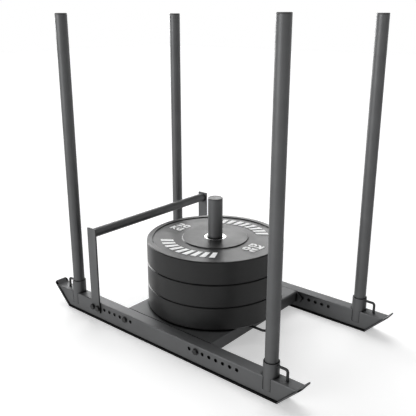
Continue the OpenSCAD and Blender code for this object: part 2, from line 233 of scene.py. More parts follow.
@dataclass
class Shell:
    """One closed piece, gathered from grids of points."""

    points: list[Array] = field(default_factory=list)
    faces: list[Array] = field(default_factory=list)
    count: int = 0

    def grid(self, rows: Array, wrap_rows: bool = False) -> "Shell":
        """Adds a grid whose second direction closes on itself.

        Corner i, j is joined to its next neighbours both ways, and the last column to the first.

        Args:
            rows: Points as rows by columns by coordinates.
            wrap_rows: Whether the last row joins the first as well.

        Returns:
            This shell.
        """
        n, m = rows.shape[:2]
        number = np.arange(n * m).reshape(n, m) + self.count
        below = number if wrap_rows else number[:-1]
        above = np.roll(number, -1, axis=0) if wrap_rows else number[1:]
        quads = np.stack([below, np.roll(below, -1, axis=1), np.roll(above, -1, axis=1), above], axis=-1)
        self.points.append(rows.reshape(-1, 3))
        self.faces.append(quads.reshape(-1, 4))
        self.count += n * m
        return self

    def loft(self, rings: Array) -> "Shell":
        """Adds a skin over rings of points, closed at both ends by a fan to the end ring's middle.

        Args:
            rings: Rings by points by coordinates.

        Returns:
            This shell.
        """
        first = np.repeat(rings[:1].mean(axis=1, keepdims=True), rings.shape[1], axis=1)
        last = np.repeat(rings[-1:].mean(axis=1, keepdims=True), rings.shape[1], axis=1)
        return self.grid(np.concatenate([first, rings, last]))

    def revolve(self, outline: Array, centre: Array, sides: int = 96) -> "Shell":
        """Adds a solid of revolution about a vertical axis.

        A point at radius r and height z goes to (r cos a, r sin a, z) from the axis, for even steps of a.

        Args:
            outline: The closed outline as rows of radius and height.
            centre: The axis as x and y.
            sides: The number of steps round.

        Returns:
            This shell.
        """
        a = np.arange(sides) * TURN / sides
        r, z = outline[:, :1], outline[:, 1:2]
        rows = np.stack([centre[0] + r * np.cos(a), centre[1] + r * np.sin(a),
                         np.broadcast_to(z, (len(outline), sides))], axis=-1)
        return self.grid(rows, wrap_rows=True)

    def rod(self, route: Array, across: Sequence[float], radius: float | Array, sides: int = 24) -> "Shell":
        """Adds a round rod along a flat route.

        The route's plane is square to one fixed vector. At each point the ring lies in that vector and the
        cross product of it with the route's direction: radius times cosine along one, sine along the other.

        Args:
            route: The route's points as rows.
            across: The fixed vector square to the route's plane.
            radius: The rod's radius, one value or one for each point.
            sides: The number of points in a ring.

        Returns:
            This shell.
        """
        fixed = unit(np.asarray(across, float))
        side = unit(np.cross(fixed, np.gradient(route, axis=0)))
        a = np.arange(sides) * TURN / sides
        r = np.broadcast_to(np.asarray(radius, float), len(route))[:, None, None]
        ring = side[:, None] * np.cos(a)[None, :, None] + fixed * np.sin(a)[None, :, None]
        return self.loft(route[:, None] + r * ring)

    def block(self, low: Array, high: Array, radius: float, steps: int = 3) -> "Shell":
        """Adds a box with rounded edges.

        The surface is the set of points at the edge radius from an inner box: each direction of a sphere,
        given by its turn and tilt, is added to the corner of the inner box in that direction's octant.

        Args:
            low: The box's lowest corner.
            high: The box's highest corner.
            radius: The radius of the edges.
            steps: The number of chords in a quarter turn.

        Returns:
            This shell.
        """
        quarter = np.linspace(0, np.pi / 2, steps + 1)
        turn = (np.arange(4)[:, None] * np.pi / 2 + quarter).ravel()
        sign_x = np.repeat([1, -1, -1, 1], steps + 1)
        sign_y = np.repeat([1, 1, -1, -1], steps + 1)
        tilt = np.concatenate([quarter - np.pi / 2, quarter])[:, None]
        sign_z = np.repeat([-1, 1], steps + 1)[:, None]
        inner = (high - low) / 2 - radius
        offset = np.stack([
            inner[0] * sign_x + radius * np.cos(tilt) * np.cos(turn),
            inner[1] * sign_y + radius * np.cos(tilt) * np.sin(turn),
            np.broadcast_to(inner[2] * sign_z + radius * np.sin(tilt), (len(tilt), len(turn)))], axis=-1)
        return self.loft((low + high) / 2 + offset)

    def build(self, name: str, sharp_deg: float = SHARP_DEG) -> bpy.types.Object:
        """Makes the object, with merged doubles, outward faces and smooth shading between sharp edges.

        Args:
            name: The object's name.
            sharp_deg: The angle between faces from which an edge counts as sharp.

        Returns:
            The new object, linked to the scene.
        """
        mesh = bpy.data.meshes.new(name)
        mesh.from_pydata(np.concatenate(self.points), [], np.concatenate(self.faces).tolist())
        return finished_object(name, mesh, sharp_deg)


def finished_object(name: str, mesh: bpy.types.Mesh, sharp_deg: float = SHARP_DEG) -> bpy.types.Object:
    """Merges a mesh's doubles, turns its faces outwards, shades it and links an object for it.

    Args:
        name: The object's name.
        mesh: The mesh, whose points are already in place.
        sharp_deg: The angle between faces from which an edge counts as sharp.

    Returns:
        The new object.
    """
    work = bmesh.new()
    work.from_mesh(mesh)
    bmesh.ops.remove_doubles(work, verts=work.verts, dist=SAME_POINT)
    bmesh.ops.dissolve_degenerate(work, edges=work.edges, dist=NO_LENGTH)
    bmesh.ops.recalc_face_normals(work, faces=work.faces)
    work.to_mesh(mesh)
    work.free()
    mesh.shade_smooth()
    mesh.set_sharp_from_angle(angle=math.radians(sharp_deg))
    return placed(name, mesh)


def grey(level: float, blue: float = 0.0) -> tuple[float, float, float, float]:
    """A neutral opaque tone with a little more blue than red."""
    return level, level * (1 + blue / 2), level * (1 + blue), 1.0


class NodeBoard:
    """A node tree with short ways to add and join nodes."""

    def __init__(self, tree: bpy.types.NodeTree) -> None:
        """Takes the tree to work on."""
        self.tree = tree

    def join(self, value: Any, socket: bpy.types.NodeSocket) -> None:
        """Gives a socket its value.

        Args:
            value: A number, a colour or another socket, which is joined.
            socket: The socket that takes it.
        """
        if isinstance(value, bpy.types.NodeSocket):
            self.tree.links.new(value, socket)
        else:
            socket.default_value = value

    def add(self, kind: str, inputs: dict[Any, Any] | None = None, **settings: Any) -> bpy.types.Node:
        """Adds a node.

        Args:
            kind: The node's type.
            inputs: Numbers, colours or sockets for its inputs, by name or number.
            **settings: The node's own properties.

        Returns:
            The node.
        """
        node = self.tree.nodes.new(kind)
        for key, value in settings.items():
            setattr(node, key, value)
        for key, value in (inputs or {}).items():
            self.join(value, node.inputs[key])
        return node

    def spread(self, source: Any, low: float, high: float, start: float = 0.3, stop: float = 0.7,
               **settings: Any) -> Any:
        """Maps a pattern's range from start to stop to values from low to high, with the map's settings."""
        limits = {"Value": source, "From Min": start, "From Max": stop, "To Min": low, "To Max": high}
        return self.add("ShaderNodeMapRange", limits, **settings).outputs["Result"]

    def sum(self, operation: str, *values: Any) -> Any:
        """Works out one operation of a math node on numbers or value sockets."""
        return self.add("ShaderNodeMath", dict(enumerate(values)), operation=operation).outputs[0]

    def within(self, *limits: tuple[Any, float, float]) -> Any:
        """Tells whether values lie in their ranges.

        Args:
            *limits: A value socket with its lowest and highest value, for each.

        Returns:
            A socket that is 1 where all of them do.
        """
        inside: Any = 1.0
        for source, low, high in limits:
            hit = self.sum("COMPARE", source, (low + high) / 2, (high - low) / 2)
            inside = self.sum("MULTIPLY", inside, hit)
        return inside

    def seen(self) -> Any:
        """Adds a value that is 1 for rays from the camera, mirrors and glass, and 0 for others."""
        rays = self.add("ShaderNodeLightPath").outputs
        return self.sum("MAXIMUM", self.sum("MAXIMUM", rays["Is Camera Ray"], rays["Is Glossy Ray"]),
                        rays["Is Transmission Ray"])


class NodeSheet(NodeBoard):
    """A material's node tree, for procedural patterns on Object coordinates."""

    def __init__(self, name: str) -> None:
        """Starts a material with one shader.

        Args:
            name: The material's name.
        """
        self.material = bpy.data.materials.new(name)
        self.material.use_nodes = True
        super().__init__(self.material.node_tree)
        self.shader = self.tree.nodes["Principled BSDF"]
        self.place = self.add("ShaderNodeTexCoord").outputs["Object"]

    def finish(self, **values: Any) -> None:
        """Gives numbers, colours or sockets to the shader's inputs, named with _ for a space."""
        for key, value in values.items():
            self.join(value, self.shader.inputs[key.replace("_", " ")])

    def noise(self, size: float, detail: float) -> Any:
        """Adds noise whose features are about one size in metres, with a number of finer layers."""
        inputs = {"Vector": self.place, "Scale": 1 / size, "Detail": detail}
        return self.add("ShaderNodeTexNoise", inputs).outputs["Fac"]

    def tint(self, share: Any, first: Any, second: Any) -> None:
        """Runs the base colour from the first tone at a share of 0 to the second at 1."""
        inputs = {MIX_SHARE: share, MIX_FIRST: first, MIX_SECOND: second}
        self.finish(Base_Color=self.add("ShaderNodeMix", inputs, data_type="RGBA").outputs[MIX_RESULT])

    def blacken(self, share: Any) -> None:
        """Runs the base colour, which is joined before, towards near black by a share from 0 to 1."""
        self.tint(share, self.shader.inputs["Base Color"].links[0].from_socket, grey(NEAR_BLACK))

    def settle_dust(self, reach: float) -> None:
        """Paints shade into the base colour, which is joined before, where neighbours within reach close it
        in.
        """
        nook = self.add("ShaderNodeAmbientOcclusion", {"Distance": reach}, samples=NOOK_SAMPLES)
        self.blacken(self.spread(nook.outputs["AO"], 1, 0, *NOOK_SHARES))

    def from_runner(self) -> tuple[Any, Any, Any]:
        """Works out where a place lies, alike for both runners and both ends.

        Returns:
            The distance from the runner's middle plane, that from the sled's middle, and the height.
        """
        split = self.add("ShaderNodeSeparateXYZ", {0: self.place})
        aside = self.sum("SUBTRACT", self.sum("ABSOLUTE", split.outputs["Y"]), RUNNER_PLANE)
        return self.sum("ABSOLUTE", aside), self.sum("ABSOLUTE", split.outputs["X"]), split.outputs["Z"]

    def bumps(self, *layers: tuple[Any, float]) -> None:
        """Stacks height patterns on the surface.

        Args:
            *layers: A value socket and the height in metres between its 0 and 1, for each.
        """
        inputs: dict[str, Any] = {"Strength": 1.0}
        for height, distance in layers:
            bump = self.add("ShaderNodeBump", inputs | {"Height": height, "Distance": distance})
            inputs["Normal"] = bump.outputs["Normal"]
        self.finish(Normal=inputs["Normal"])


@dataclass(frozen=True)
class DarkZone:
    """A block of places, alike at both ends of both runners, where shade is painted near black.

    Across is the distance from a runner's middle plane, along the distance from the sled's middle.
    """

    across: tuple[float, float]
    along: tuple[float, float]
    height: tuple[float, float]

    def share(self, sheet: NodeSheet) -> Any:
        """Builds the mask on a material's sheet, 1 inside the block."""
        ranges = (self.across, self.along, self.height)
        return sheet.within(*((value, *limits) for value, limits in zip(sheet.from_runner(), ranges)))


@dataclass(frozen=True)
class HoleRims:
    """The walls and the edges of the adjusting holes, which stay in shadow: shade painted near black."""

    first: float = 127.5 * MM
    last: float = 305.3 * MM
    pitch: float = 25.4 * MM
    height: float = 44.7 * MM
    radius: float = 5.9 * MM
    wall: tuple[float, float] = (16.9 * MM, 20.1 * MM)

    def share(self, sheet: NodeSheet) -> Any:
        """Builds the mask.

        The distance from the nearest hole's axis is the root of the sum of the squares along the row, where
        the holes repeat with every pitch, and up the wall.

        Args:
            sheet: The material's sheet.

        Returns:
            A socket that is 1 within the radius of a hole's axis and in the walls.
        """
        across, along, height = sheet.from_runner()
        aside = sheet.sum("PINGPONG", sheet.sum("SUBTRACT", along, self.first), self.pitch / 2)
        above = sheet.sum("SUBTRACT", height, self.height)
        square = sheet.sum("ADD", sheet.sum("MULTIPLY", aside, aside), sheet.sum("MULTIPLY", above, above))
        row = (along, self.first - self.radius, self.last + self.radius)
        return sheet.within((across, *self.wall), row, (sheet.sum("SQRT", square), 0, self.radius))


# Places in shadow on the frame, from the part's own sizes, where shade is painted near black.
SKID_SIDE_SHADE = DarkZone((24.3 * MM, 26 * MM), (0, 519 * MM), (-1 * MM, 4.3 * MM))
SKID_TIP_SHADE = DarkZone((18 * MM, 26 * MM), (504 * MM, 519 * MM), (64.2 * MM, 75 * MM))
SKID_END_SHADE = DarkZone((0, 26 * MM), (515.2 * MM, 519 * MM), (60 * MM, 75 * MM))
SOCKET_INNER_SHADE = DarkZone((19.8 * MM, 20.2 * MM), (393.4 * MM, 395.7 * MM), (24.5 * MM, 64.1 * MM))
SOCKET_OUTER_SHADE = DarkZone((19.8 * MM, 20.2 * MM), (418.3 * MM, 419.4 * MM), (24.5 * MM, 64.1 * MM))
PAINTED_SHADE_PLACES = (HoleRims(), SKID_SIDE_SHADE, SKID_TIP_SHADE, SKID_END_SHADE, SOCKET_INNER_SHADE, SOCKET_OUTER_SHADE)


@dataclass(frozen=True)
class PowderCoat:
    """Baked anthracite powder coat: a fine orange peel, small changes of tone and gloss, and painted shade.
    """

    name: str = "anthracite_powder_coat"
    slot: Slot = Slot.PAINT
    dark: float = 0.142
    light: float = 0.160
    blue: float = 0.03
    metallic: float = 0.35
    specular: float = 0.03
    gloss: tuple[float, float] = (0.40, 0.50)
    patch: float = 60 * MM
    peel: float = 3.5 * MM
    peel_height: float = 0.02 * MM
    grain: float = 0.9 * MM
    grain_height: float = 0.012 * MM
    nook: float = 13 * MM

    def material(self) -> bpy.types.Material:
        """Builds the finish.

        Returns:
            The material.
        """
        sheet = NodeSheet(self.name)
        patches = sheet.spread(sheet.noise(self.patch, detail=4), 0, 1)
        peel, grain = sheet.noise(self.peel, detail=1), sheet.noise(self.grain, detail=2)
        sheet.tint(patches, grey(self.dark, self.blue), grey(self.light, self.blue))
        # Painted shade: the base colour goes near black in nooks and at the places in shadow.
        sheet.settle_dust(self.nook)
        for place in PAINTED_SHADE_PLACES:
            sheet.blacken(place.share(sheet))
        sheet.bumps((peel, self.peel_height), (grain, self.grain_height))
        sheet.finish(Roughness=sheet.spread(peel, *self.gloss), Metallic=self.metallic,
                     Specular_IOR_Level=self.specular)
        return sheet.material


@dataclass(frozen=True)
class MouldedRubber:
    """Matt black rubber from a mould: fine grain, a faint bloom, small pits and painted shade in nooks."""

    name: str = "moulded_black_rubber"
    slot: Slot = Slot.RUBBER
    dark: float = 0.014
    light: float = 0.018
    blue: float = 0.02
    specular: float = 0.28
    gloss: tuple[float, float] = (0.34, 0.44)
    bloom: float = 45 * MM
    pits: float = 2.4 * MM
    pit_share: float = 0.25
    grain: float = 0.7 * MM
    relief: float = 0.02 * MM
    nook: float = 12 * MM

    def material(self) -> bpy.types.Material:
        """Builds the finish.

        Returns:
            The material.
        """
        sheet = NodeSheet(self.name)
        bloom, grain = sheet.noise(self.bloom, detail=5), sheet.noise(self.grain, detail=3)
        cells = sheet.add("ShaderNodeTexVoronoi", {"Vector": sheet.place, "Scale": 1 / self.pits})
        sheet.tint(sheet.spread(bloom, 0, 1), grey(self.dark, self.blue), grey(self.light, self.blue))
        # Painted shade: the base colour goes near black in nooks and grooves.
        sheet.settle_dust(self.nook)
        pits = sheet.spread(cells.outputs["Distance"], 0, 1, 0.0, self.pit_share)
        sheet.bumps((pits, self.relief), (grain, self.relief))
        sheet.finish(Roughness=sheet.spread(bloom, *self.gloss), Specular_IOR_Level=self.specular)
        return sheet.material


@dataclass(frozen=True)
class TurnedSteel:
    """Bright turned steel with fine rings round the stack's axis."""

    name: str = "turned_steel"
    slot: Slot = Slot.HUB
    dark: float = 0.62
    light: float = 0.78
    gloss: tuple[float, float] = (0.20, 0.32)
    ring: float = 0.45 * MM
    ring_height: float = 0.01 * MM
    waver: float = 0.4
    stain: float = 18 * MM

    def material(self) -> bpy.types.Material:
        """Builds the finish. The rings' pitch is one turn in radians times the ring size.

        Returns:
            The material.
        """
        sheet = NodeSheet(self.name)
        stain = sheet.noise(self.stain, detail=4)
        inputs = {"Vector": sheet.place, "Scale": 1 / (self.ring * WAVE_RATE), "Distortion": self.waver}
        wave = sheet.add("ShaderNodeTexWave", inputs, wave_type="RINGS", rings_direction="Z")
        rings = wave.outputs["Fac"]
        sheet.tint(sheet.spread(stain, 0, 1), grey(self.dark), grey(self.light))
        sheet.bumps((rings, self.ring_height))
        sheet.finish(Roughness=sheet.spread(rings, *self.gloss, 0.0, 1.0), Metallic=1.0)
        return sheet.material


@dataclass(frozen=True)
class GrainedFinish:
    """A finish of soft clouds in tone and gloss over a fine grain."""

    name: str
    slot: Slot
    dark: float
    light: float
    gloss: tuple[float, float]
    cloud: float
    cloud_detail: float
    grain: float
    grain_height: float
    metallic: float = 0.0

    def material(self) -> bpy.types.Material:
        """Builds the finish.

        Returns:
            The material.
        """
        sheet = NodeSheet(self.name)
        clouds = sheet.noise(self.cloud, self.cloud_detail)
        sheet.tint(sheet.spread(clouds, 0, 1), grey(self.dark), grey(self.light))
        sheet.bumps((sheet.noise(self.grain, detail=2), self.grain_height))
        sheet.finish(Roughness=sheet.spread(clouds, *self.gloss), Metallic=self.metallic)
        return sheet.material


@dataclass(frozen=True)
class CapPlastic(GrainedFinish):
    """Grey moulded plastic with a fine spark-eroded grain."""

    name: str = "grained_cap_plastic"
    slot: Slot = Slot.PLASTIC
    dark: float = 0.075
    light: float = 0.095
    gloss: tuple[float, float] = (0.42, 0.54)
    cloud: float = 12 * MM
    cloud_detail: float = 3
    grain: float = 0.5 * MM
    grain_height: float = 0.03 * MM


@dataclass(frozen=True)
class BlackOxide(GrainedFinish):
    """Blackened steel of the bolts, washers and nuts."""

    name: str = "black_oxide_steel"
    slot: Slot = Slot.FASTENER
    dark: float = 0.022
    light: float = 0.045
    gloss: tuple[float, float] = (0.30, 0.48)
    cloud: float = 5 * MM
    cloud_detail: float = 4
    grain: float = 0.6 * MM
    grain_height: float = 0.015 * MM
    metallic: float = 0.7


@dataclass(frozen=True)
class WhiteMark(GrainedFinish):
    """White ink on the raised numbers and bars of the plates."""

    name: str = "white_marking"
    slot: Slot = Slot.MARKING
    dark: float = 0.88
    light: float = 0.94
    gloss: tuple[float, float] = (0.45, 0.60)
    cloud: float = 6 * MM
    cloud_detail: float = 5
    grain: float = 0.8 * MM
    grain_height: float = 0.02 * MM


FINISHES = (PowderCoat(), MouldedRubber(), TurnedSteel(), CapPlastic(), BlackOxide(), WhiteMark())
# A darker copy of the powder coat for the thin rods: painted shade, since they sit darker in the light.
SHADED_ROD_COAT = PowderCoat("shaded_rod_powder_coat", dark=0.055, light=0.065)


@dataclass
class Workshop:
    """Holds the finishes and puts them, with a body and the nodes stood for, on each piece."""

    materials: dict[Slot, bpy.types.Material] = field(default_factory=dict)
    rod_coat: bpy.types.Material | None = None

    def prepare(self) -> None:
        """Builds every finish once."""
        self.materials = {finish.slot: finish.material() for finish in FINISHES}
        self.rod_coat = SHADED_ROD_COAT.material()

    def dress(self, piece: bpy.types.Object, slot: Slot, body: str, *stands_for: str) -> None:
        """Gives a new piece its finish and its body.

        Args:
            piece: The piece, already in place.
            slot: The slot whose finish it takes.
            body: The body that it rides on.
            *stands_for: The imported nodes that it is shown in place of.
        """
        piece.data.materials.append(self.materials[slot])
        if stands_for:
            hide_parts(*stands_for)
        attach(piece, body)
        LOG.info("%s rides on %s", piece.name, body)

    def dress_rod(self, piece: bpy.types.Object, node: str) -> None:
        """Dresses a bent rod of the frame in a darker copy of the coat, which paints shade onto thin rods.
        """
        self.dress(piece, Slot.PAINT, "frame", node)
        piece.data.materials[0] = self.rod_coat

    def paint_node(self, node: str, slot: Slot) -> None:
        """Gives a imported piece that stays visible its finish.

        Args:
            node: The node's name.
            slot: The slot whose finish it takes.
        """
        piece = frame["nodes"][node]
        for material_slot in piece.material_slots:
            material_slot.material = self.materials[slot]
        LOG.info("%s keeps its packed shape", node)


@dataclass
class WeldBeads:
    """Fillet welds, as rippled beads round the ends of the tubes and rods."""

    radius: float = 1.1 * MM
    ripple: float = 0.16
    pitch: float = 2.4 * MM
    points_per_pitch: int = 6
    sides: int = 10
    shell: Shell = field(default_factory=Shell)

    def ring(self, centre: Array, radius: float, axis: int) -> None:
        """Adds a bead round a tube or rod.

        Its radius swells and shrinks by a share of itself with every pitch along the ring, as
        r (1 + ripple cos s).

        Args:
            centre: The middle of the ring.
            radius: The ring's radius.
            axis: 0, 1 or 2 for a ring round X, Y or Z.
        """
        a = np.linspace(0, TURN, int(radius * TURN / self.pitch * self.points_per_pitch))
        flat = np.stack([np.cos(a), np.sin(a), np.zeros_like(a)], axis=1) * radius
        route = centre + np.roll(flat, axis + 1, axis=1)
        r = self.radius * (1 + self.ripple * np.cos(TURN * run_along(route) / self.pitch))
        self.shell.rod(route, np.eye(3)[axis], r, self.sides)


@dataclass
class Group:
    """A group of pieces, with the workshop that dresses them and the beads that join them."""

    shop: Workshop
    beads: WeldBeads

    def build(self) -> None:
        """Makes and dresses the group's pieces."""
        raise NotImplementedError


@dataclass
class Tube:
    """A round tube with softened rims, standing upright."""

    node: str
    wall: float
    rim: float
    sides: int = 64

    def build(self, name: str) -> bpy.types.Object:
        """Makes the tube in the place of its node.

        Args:
            name: The new object's name.

        Returns:
            The tube.
        """
        low, high = box_of(self.node)
        radius = (high[0] - low[0]) / 2
        inside = radius - self.wall
        corners = [(inside, low[2]), (radius, low[2]), (radius, high[2]), (inside, high[2])]
        outline = rounded_outline(corners, self.rim)
        return Shell().revolve(outline, (low + high)[:2] / 2, self.sides).build(name)


@dataclass
class EndCap:
    """A plastic cap with a bevelled head and a plug inside its tube."""

    node: str
    wall: float
    head: float = 4 * MM
    bevel: float = 1.2 * MM
    dish: float = 0.5 * MM
    core: float = 0.2 * MM
    fit: float = 0.1 * MM
    sides: int = 64

    def build(self, name: str) -> bpy.types.Object:
        """Makes the cap in the place of its node.

        The head's top is dished inside its bevel, as moulded caps are.

        Args:
            name: The new object's name.

        Returns:
            The cap.
        """
        low, high = box_of(self.node)
        foot, top = low[2], high[2]
        radius, sunk, shoulder = (high[0] - low[0]) / 2, top - self.dish, top - self.head
        plug, ring = radius - self.wall - self.fit, radius - 3 * self.bevel
        corners = [(self.core, foot), (plug, foot), (plug, shoulder), (radius, shoulder),
                   (radius, top - self.bevel), (radius - self.bevel, top), (ring, top),
                   (ring - self.dish, sunk), (self.core, sunk)]
        radii = np.array([0.02, 0.8, 0.1, 0.5, 0.5, 0.5, 0.2, 0.2, 0.02]) * MM
        outline = np.concatenate([rounded_outline(corners, radii), [(0, sunk), (0, foot)]])
        return Shell().revolve(outline, (low + high)[:2] / 2, self.sides).build(name)


@dataclass
class PushPoles(Group):
    """The four lift-out poles with their end caps."""

    wall: float = 2 * MM
    rim: float = 0.6 * MM

    def build(self) -> None:
        """Makes and dresses each pole and cap."""
        for corner in Corner:
            body = f"{corner.word}_pole"
            pole = Tube(body, self.wall, self.rim).build(f"{body}_tube")
            self.shop.dress(pole, Slot.PAINT, body, body)
            cap = EndCap(f"{body}_cap", self.wall).build(f"{body}_end_cap")
            self.shop.dress(cap, Slot.PLASTIC, body, f"{body}_cap")


@dataclass
class Sockets(Group):
    """The four pole sockets with their welded tow loops."""

    wall: float = 2.5 * MM
    rim: float = 0.9 * MM
    rod: float = 4 * MM
    bend: float = 7 * MM
    root: float = 1.5 * MM

    def build(self) -> None:
        """Makes and dresses each socket and loop."""
        for corner in Corner:
            node = f"{corner.word}_socket"
            socket = Tube(node, self.wall, self.rim).build(f"{node}_tube")
            self.shop.dress(socket, Slot.PAINT, "frame", node)
            self.loop(corner)

    def loop(self, corner: Corner) -> None:
        """Makes one bent rod from the socket's side down to the runner's top.

        Args:
            corner: The corner that it stands at.
        """
        node = f"{corner.word}_tow_loop"
        low, high = box_of(node)
        outer = max(corner.end, 0)
        y = (low[1] + high[1]) / 2
        arm = high[2] - self.rod
        leg = (low, high)[outer][0] - corner.end * self.rod
        mouth = box_of(f"{corner.word}_socket")[outer][0]
        start = mouth - corner.end * self.root
        route = rounded_path([(start, y, arm), (leg, y, arm), (leg, y, low[2])], self.bend)
        self.shop.dress_rod(Shell().rod(route, (0, 1, 0), self.rod).build(f"{node}_rod"), node)
        self.beads.ring(np.array([leg, y, low[2]]), self.rod, 2)
        self.beads.ring(np.array([mouth, y, arm]), self.rod, 0)


@dataclass
class Skids(Group):
    """The flat bars under the runners, with both ends turned up and their corners rounded."""

    slope: float = math.radians(45)
    inner_bend: float = 3 * MM
    corner: float = 8 * MM
    edge: float = 0.9 * MM
    thickness: float = 4 * MM
    tip_steps: int = 9

    def build(self) -> None:
        """Makes and dresses both skids.

        A rounded rectangle is carried along the bar's middle line, which lies flat, bends up by the slope
        and runs straight to the tip. Over the last stretch the half width follows a quarter circle.
        """
        for node in ("right_skid", "left_skid"):
            low, high = box_of(node)
            route = self.middle_line(low, high)
            run = run_along(route)
            shortfall = np.clip(self.corner - np.minimum(run, run[-1] - run), 0, self.corner)
            narrow = self.corner - np.sqrt(np.maximum(self.corner ** 2 - shortfall ** 2, 0))
            wide, thick = (high[1] - low[1]) / 2, self.thickness / 2
            corners = [(-wide, -thick), (wide, -thick), (wide, thick), (-wide, thick)]
            section = rounded_outline(corners, self.edge)
            up = unit(np.cross(np.gradient(route, axis=0), (0, 1, 0)))
            across = section[:, 0] - np.sign(section[:, 0]) * narrow[:, None]
            rings = (route[:, None] - up[:, None] * section[None, :, 1:2]
                     + across[:, :, None] * np.array([0, 1, 0]))
            self.shop.dress(Shell().loft(rings).build(f"{node}_bar"), Slot.PAINT, "frame", node)

    def middle_line(self, low: Array, high: Array) -> Array:
        """Works out the bar's middle line from its box.

        Args:
            low: The lowest corner of the bar's box.
            high: The highest corner of the bar's box.

        Returns:
            The line's points, with close steps near both tips.
        """
        half = self.thickness / 2
        y = (low[1] + high[1]) / 2
        tip_x = high[0] - half * math.sin(self.slope)
        tip_z = high[2] - half * math.cos(self.slope)
        knee_x = tip_x - (tip_z - half) / math.tan(self.slope)
        ends = [(-tip_x, y, tip_z), (-knee_x, y, half), (knee_x, y, half), (tip_x, y, tip_z)]
        bent = rounded_path(ends, self.inner_bend + half, 6)
        t = (1 - np.cos(np.linspace(0, np.pi / 2, self.tip_steps)))[:, None] * self.corner
        along = np.array([math.cos(self.slope), 0, math.sin(self.slope)])
        last = bent[-1] - along * t[::-1]
        first = last[::-1] * (-1, 1, 1)
        return np.concatenate([first, bent[1:-1], last])


@dataclass
class WeightTray(Group):
    """The folded tray with its tow loop, the post, its flange and its cap."""

    rod: float = 4 * MM
    bend: float = 14 * MM
    root: float = 1 * MM
    post_wall: float = 3 * MM
    post_rim: float = 0.8 * MM
    post_sides: int = 80
    flange_core: float = 0.5 * MM

    def build(self) -> None:
        """Makes and dresses the pieces round the tray."""
        self.shop.paint_node("weight_tray", Slot.PAINT)
        post = Tube("weight_post", self.post_wall, self.post_rim, self.post_sides)
        self.shop.dress(post.build("weight_post_tube"), Slot.PAINT, "frame", "weight_post")
        cap = EndCap("post_cap", self.post_wall).build("weight_post_end_cap")
        self.shop.dress(cap, Slot.PLASTIC, "frame", "post_cap")
        self.flange()
        self.loop()

    def flange(self) -> None:
        """Makes the disc under the post, welded round the post's foot."""
        low, high = box_of("post_flange")
        core, rim, foot, top = self.flange_core, high[0], low[2], high[2]
        corners = [(core, foot), (rim, foot), (rim, top), (core, top)]
        outline = rounded_outline(corners, np.array([0.1, 0.4, 0.6, 0.1]) * MM)
        outline = np.concatenate([outline, [(0, top), (0, foot)]])
        disc = Shell().revolve(outline, np.zeros(2)).build("post_flange_disc")
        self.shop.dress(disc, Slot.PAINT, "frame", "post_flange")
        self.beads.ring(np.array([0, 0, top]), box_of("weight_post")[1][0], 2)

    def loop(self) -> None:
        """Makes the bent rod on the tray's front edge."""
        low, high = box_of("tray_tow_loop")
        z = (low[2] + high[2]) / 2
        side, reach, root = high[1] - self.rod, high[0] - self.rod, low[0] - self.root
        corners = [(root, side, z), (reach, side, z), (reach, -side, z), (root, -side, z)]
        loop = Shell().rod(rounded_path(corners, self.bend), (0, 0, 1), self.rod)
        self.shop.dress_rod(loop.build("tray_tow_loop_rod"), "tray_tow_loop")
        for y in (-side, side):
            self.beads.ring(np.array([low[0], y, z]), self.rod, 0)


@dataclass
class LowHandle(Group):
    """The low handle: two flat-bar legs and a round crossbar."""

    edge: float = 1.0 * MM
    sides: int = 64

    def build(self) -> None:
        """Makes and dresses the legs and the crossbar."""
        for side in ("right", "left"):
            node = f"{side}_handle_leg"
            leg = Shell().block(*box_of(node), self.edge).build(f"{node}_bar")
            self.shop.dress(leg, Slot.PAINT, "frame", node)
        low, high = box_of("handle_crossbar")
        middle, radius = (low + high) / 2, (high[2] - low[2]) / 2
        ends = [(middle[0], y, middle[2]) for y in (low[1], 0.0, high[1])]
        bar = Shell().rod(np.array(ends), (0, 0, 1), radius, self.sides).build("handle_crossbar_tube")
        self.shop.dress(bar, Slot.PAINT, "frame", "handle_crossbar")
        for y in (low[1], high[1]):
            self.beads.ring(np.array([middle[0], y, middle[2]]), radius, 1)


